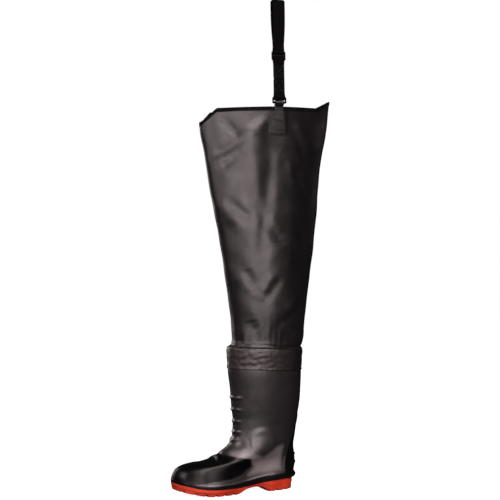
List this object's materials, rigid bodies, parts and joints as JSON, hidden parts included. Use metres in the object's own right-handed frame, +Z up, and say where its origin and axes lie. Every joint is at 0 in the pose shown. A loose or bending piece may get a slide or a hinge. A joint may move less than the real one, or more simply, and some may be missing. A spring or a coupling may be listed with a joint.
{
  "type": "safety waist wader",
  "caption": "Left safety waist wader: black moulded boot with a red cleated sole, a coated-fabric leg up to the waist and a webbing strap with a belt loop.",
  "frame": {"origin": "on the ground under the middle of the heel", "axes": "+Z up, the toe points along -X, the outer side of the left leg faces -Y"},
  "size_m": [0.4136, 0.1199, 1.1755],
  "materials": {
    "outsole": "satin orange-red rubber",
    "moulded": "smooth black moulded, satin",
    "insole": "grey felt",
    "coated_fabric": "black coated fabric, matt sheen",
    "webbing": "black woven webbing",
    "hardware": "black plastic"
  },
  "bodies": {
    "root": {"outsole": "outsole", "upper": "moulded", "insole": "insole", "leg": "coated_fabric", "anchor_patch": "coated_fabric", "tab": "coated_fabric", "ring": "hardware", "strap": "webbing", "slider": "hardware", "belt_loop": "webbing"}
  },
  "joints": []
}
